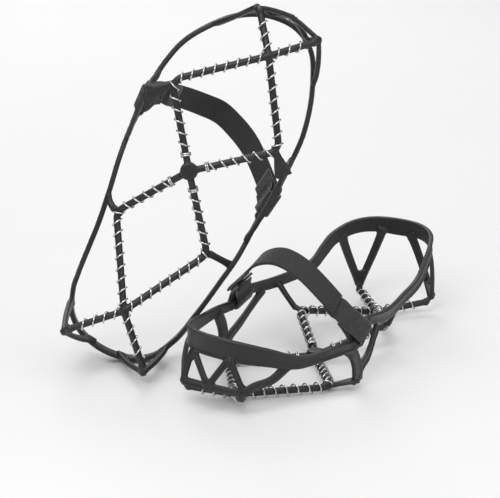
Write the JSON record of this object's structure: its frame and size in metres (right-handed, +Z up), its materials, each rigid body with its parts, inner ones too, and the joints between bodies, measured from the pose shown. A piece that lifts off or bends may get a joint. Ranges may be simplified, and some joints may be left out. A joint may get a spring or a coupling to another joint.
{
  "type": "pair of shoe ice cleats",
  "caption": "Pair of pull-on shoe ice cleats: a rubber web harness that hugs a boot, steel wire coils on cords under the sole, and a hook-and-loop instep strap.",
  "frame": {"origin": "centre of the pair's footprint on the ground", "axes": "+Z up, -Y towards the toe of the flat-standing left cleat, +X towards its outer side; the right cleat stands on its heel on the -X side, sole outwards"},
  "size_m": [0.2392, 0.314, 0.2936],
  "materials": {
    "rubber": "moulded, soft sheen",
    "steel": "bright drawn wire",
    "webbing": "woven webbing",
    "loop_fabric": "brushed loop pile",
    "hook_fabric": "moulded hooks",
    "thread": "twisted thread"
  },
  "bodies": {
    "left_cleat": {"left_harness": "rubber", "left_coil_toe_inner": "steel", "left_coil_toe_outer": "steel", "left_coil_heel_inner": "steel", "left_coil_heel_outer": "steel"},
    "left_strap": {"left_strap_webbing": "webbing", "left_strap_fuzzy_section": "loop_fabric", "left_strap_hook_pad": "hook_fabric", "left_strap_stitching": "thread"},
    "left_keeper": {"left_keeper_tab": "loop_fabric", "left_keeper_stitching": "thread"},
    "right_cleat": {"right_harness": "rubber", "right_coil_toe_inner": "steel", "right_coil_toe_outer": "steel", "right_coil_heel_inner": "steel", "right_coil_heel_outer": "steel"},
    "right_strap": {"right_strap_webbing": "webbing", "right_strap_fuzzy_section": "loop_fabric", "right_strap_hook_pad": "hook_fabric", "right_strap_stitching": "thread"},
    "right_keeper": {"right_keeper_tab": "loop_fabric", "right_keeper_stitching": "thread"}
  },
  "joints": [
    {"name": "left_strap_swing", "type": "hinge", "parent": "left_cleat", "child": "left_strap", "pos_m": [0.11336, -0.0427, 0.04408], "axis": [-0.0602, 0.8629, 0.5017], "range_deg": [0, 10]},
    {"name": "left_keeper_fold", "type": "hinge", "parent": "left_cleat", "child": "left_keeper", "pos_m": [-0.01164, -0.0147, 0.04408], "axis": [0.08, 0.9596, 0.2699], "range_deg": [0, 80]},
    {"name": "right_strap_swing", "type": "hinge", "parent": "right_cleat", "child": "right_strap", "pos_m": [-0.06734, -0.06783, 0.21615], "axis": [0.4838, -0.1292, 0.8656], "range_deg": [0, 140]},
    {"name": "right_keeper_fold", "type": "hinge", "parent": "right_cleat", "child": "right_keeper", "pos_m": [0.02385, -0.03099, 0.13408], "axis": [0.512, 0.1563, 0.8446], "range_deg": [0, 80]},
    {"name": "right_cleat_lift", "type": "slide", "parent": "left_cleat", "child": "right_cleat", "axis": [0, 0, 1], "range_m": [0, 0.35]}
  ]
}
